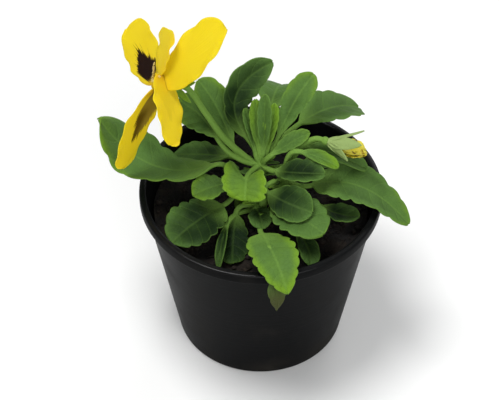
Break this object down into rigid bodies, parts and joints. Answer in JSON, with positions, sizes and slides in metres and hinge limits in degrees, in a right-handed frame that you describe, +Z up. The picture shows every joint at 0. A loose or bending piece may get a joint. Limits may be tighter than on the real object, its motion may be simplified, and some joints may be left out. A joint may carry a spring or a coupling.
{
  "type": "potted pansy",
  "caption": "Bedding pansy with a yellow, dark-blotched flower and toothed green leaves, in a round nursery pot filled with potting soil.",
  "frame": {"origin": "centre of the pot's underside, in the plane it stands on", "axes": "+Z up, +Y away from the viewer of the picture, +X to the picture's right"},
  "size_m": [0.1138, 0.1021, 0.1427],
  "materials": {
    "pot_plastic": "satin",
    "potting_soil": "matte",
    "leaf_green": "satin",
    "petal_yellow": "matte"
  },
  "bodies": {
    "root": {"pot": "pot_plastic", "soil": "potting_soil", "main_stem": "leaf_green", "left_stem": "leaf_green", "right_stem": "leaf_green", "front_stem": "leaf_green", "back_stem": "leaf_green", "bloom": "petal_yellow", "bud": "petal_yellow"}
  },
  "joints": []
}
